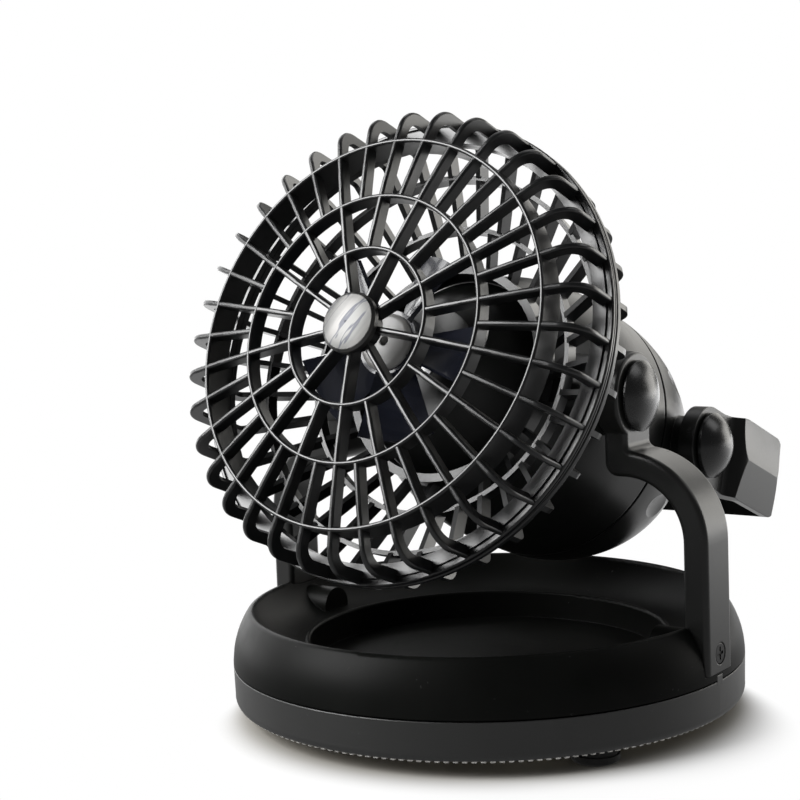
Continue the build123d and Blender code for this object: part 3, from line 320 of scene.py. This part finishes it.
def prism_row():
    """One bevelled block, repeated round the base's axis."""
    bpy.ops.object.select_all(action="DESELECT")
    bpy.ops.mesh.primitive_cube_add(size=1.0)
    row = bpy.context.object
    row.name = "lens_prisms"
    bpy.ops.object.mode_set(mode="EDIT")
    bpy.ops.mesh.select_all(action="SELECT")
    bpy.ops.transform.resize(value=PRISM_SIZE)
    bpy.ops.transform.translate(value=PRISM_PLACE)
    bpy.ops.mesh.bevel(offset=PRISM_BEVEL, segments=2)
    bpy.ops.mesh.select_all(action="SELECT")
    bpy.ops.mesh.spin(steps=PRISMS - 1, dupli=True, angle=2 * math.pi * (PRISMS - 1) / PRISMS,
                      center=(0, 0, 0), axis=(0, 0, 1))
    bpy.ops.object.mode_set(mode="OBJECT")
    bpy.ops.object.shade_smooth_by_angle(angle=PRISM_SMOOTH)
    row.data.materials.append(PRISM)
    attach(row, "base")


prism_row()


# Studio lights

AIM = Vector((0, 0, 0.09))
NEUTRAL = (1.0, 1.0, 1.0)
WARM = (1.0, 0.98, 0.93)
LIGHTS = (
    # name, degrees left of the front, degrees above level, distance, size, glow, tint
    ("key", 42, 31, 1.3, 0.8, 13.0, NEUTRAL),
    ("left_near", 64, 10, 1.2, 0.7, 0.6, NEUTRAL),
    ("left", 108, 14, 1.2, 1.3, 2.6, NEUTRAL),
    ("back_right", -150, 4, 1.3, 0.7, 3.2, WARM),
    ("back", 176, 22, 1.5, 0.9, 1.6, WARM),
    ("right", -122, 40, 1.2, 0.5, 1.6, NEUTRAL),
    ("top_back", 160, 60, 1.2, 0.7, 0.9, NEUTRAL),
)


def heading(azimuth, height):
    """Direction at an angle from the front, seen from above, and an angle above level."""
    return Vector((math.sin(azimuth) * math.cos(height),
                   -math.cos(azimuth) * math.cos(height),
                   math.sin(height)))


def emitter(name, left, height, far, size, glow, tint):
    """Square soft light aimed at the fan; glow is the brightness of its face."""
    data = bpy.data.lights.new(name, "AREA")
    data.size = size
    data.color = tint
    data.energy = glow * math.pi * size * size
    lamp = bpy.data.objects.new(name, data)
    bpy.context.collection.objects.link(lamp)
    way = heading(math.radians(-left), math.radians(height)) * far
    turn = way.to_track_quat("Z", "Y").to_matrix().to_4x4()
    lamp.matrix_world = Matrix.Translation(AIM + way) @ turn


for light in LIGHTS:
    emitter(*light)


# Sky: white to the camera and through clear pieces, dim in reflections

SKY_LIGHT, SKY_REFLECTED, SKY_SEEN = 0.22, 0.07, 1.0


def studio_sky():
    world = bpy.data.worlds.new("studio")
    bpy.context.scene.world = world
    world.use_nodes = True
    sky = Finish.over_tree(world.node_tree)
    reflected = sky.light_path("Is Glossy Ray")
    clear = sky.light_path("Is Transmission Ray") * (1 - reflected)
    seen = sky.light_path("Is Camera Ray") + clear
    room = sky.blended(reflected, sky.shine("Background", SKY_LIGHT),
                       sky.shine("Background", SKY_REFLECTED))
    room = sky.blended(seen, room, sky.shine("Background", SKY_SEEN))
    sky.node("ShaderNodeOutputWorld", {}, {"Surface": room}, None)


studio_sky()


# Floor: matt paper with a painted shadow under the base, that also holds the cast shadow and turns
# plain white away from it

FLOOR_SIZE = 8.0
TO_CAMERA = (0.589, 0.808)                    # across and forward, towards the camera
SHADOW_BACK, SHADOW_FRONT = 0.005, 0.026      # reach of the shadow, and what the front adds
# Painted shadow: dark paper colour under the base, pale paper beyond it.
PAINTED_SHADOW_PAPER, PAPER = (0.26, 0.245, 0.215), (0.93, 0.93, 0.93)
PAINTED_SHADOW_FADE = (0.073, 0.098)                   # radii where the painted shadow on the paper fades to pale
FLOOR_REFLECTED = (0.25, 2.4)                 # glow of the floor in reflections: painted shade in front, painted light behind


def studio_floor():
    bpy.ops.object.select_all(action="DESELECT")
    bpy.ops.mesh.primitive_plane_add(size=FLOOR_SIZE, location=(0, 0, 0))
    floor = bpy.context.object
    floor.name = "floor"
    paper = Finish("studio_paper")
    x, y = paper.axis("X"), paper.axis("Y")
    reach = (x * x + y * y) ** 0.5
    front = ((x * TO_CAMERA[0] - y * TO_CAMERA[1]) / reach).over(-0.2, 0.8)
    away = ((reach - BASE_EDGE_R) / (front * SHADOW_FRONT + SHADOW_BACK)).over(0.0, 1.0)
    # Painted shadow: the paper is darkened under and round the base.
    tone = paper.mixed(reach.over(*PAINTED_SHADOW_FADE), PAINTED_SHADOW_PAPER, PAPER)
    matt = paper.node("ShaderNodeBsdfDiffuse", {}, {"Color": tone})
    sheet = paper.blended(away, matt, paper.shine("Emission", 1.0))
    # Painted light and shade: in reflections the floor glows, dim in front and bright behind.
    behind = (y * 0.8 - x * 0.4).over(-0.1, 0.5)
    low, high = (paper.shine("Emission", strength) for strength in FLOOR_REFLECTED)
    sheet = paper.blended(paper.light_path("Is Glossy Ray"), sheet, paper.blended(behind, low, high))
    output = paper.tree.nodes["Material Output"]
    paper.tree.links.new(sheet.socket, output.inputs["Surface"])
    floor.data.materials.append(paper.material)


studio_floor()


# Camera, fitted to the photograph's view of the guard's rings and the base's circles

CAMERA_AZIMUTH = math.radians(36.09)          # right of the front
CAMERA_RISE = math.radians(5.63)
CAMERA_ROLL = math.radians(-2.19)
CAMERA_FAR = 0.5405
CAMERA_AIM = Vector((0, 0, 0.0995))
CAMERA_SHIFT = 0.02543                        # aim moved to the left of the axis
SENSOR = 36.0
FOCAL_PIXELS, PICTURE_PIXELS = 1677.9, 800


def photo_camera():
    back = heading(CAMERA_AZIMUTH, CAMERA_RISE)
    right = Vector((math.cos(CAMERA_AZIMUTH), math.sin(CAMERA_AZIMUTH), 0))
    up = back.cross(right)
    place = CAMERA_AIM - right * CAMERA_SHIFT + back * CAMERA_FAR
    cos, sin = math.cos(CAMERA_ROLL), math.sin(CAMERA_ROLL)
    axes = Matrix((right * cos + up * sin, up * cos - right * sin, back)).transposed()
    data = bpy.data.cameras.new("camera")
    data.sensor_width = SENSOR
    data.lens = FOCAL_PIXELS / PICTURE_PIXELS * SENSOR
    camera = bpy.data.objects.new("camera", data)
    bpy.context.collection.objects.link(camera)
    camera.matrix_world = Matrix.Translation(place) @ axes.to_4x4()
    bpy.context.scene.camera = camera


photo_camera()
bpy.context.scene.view_settings.view_transform = "Standard"
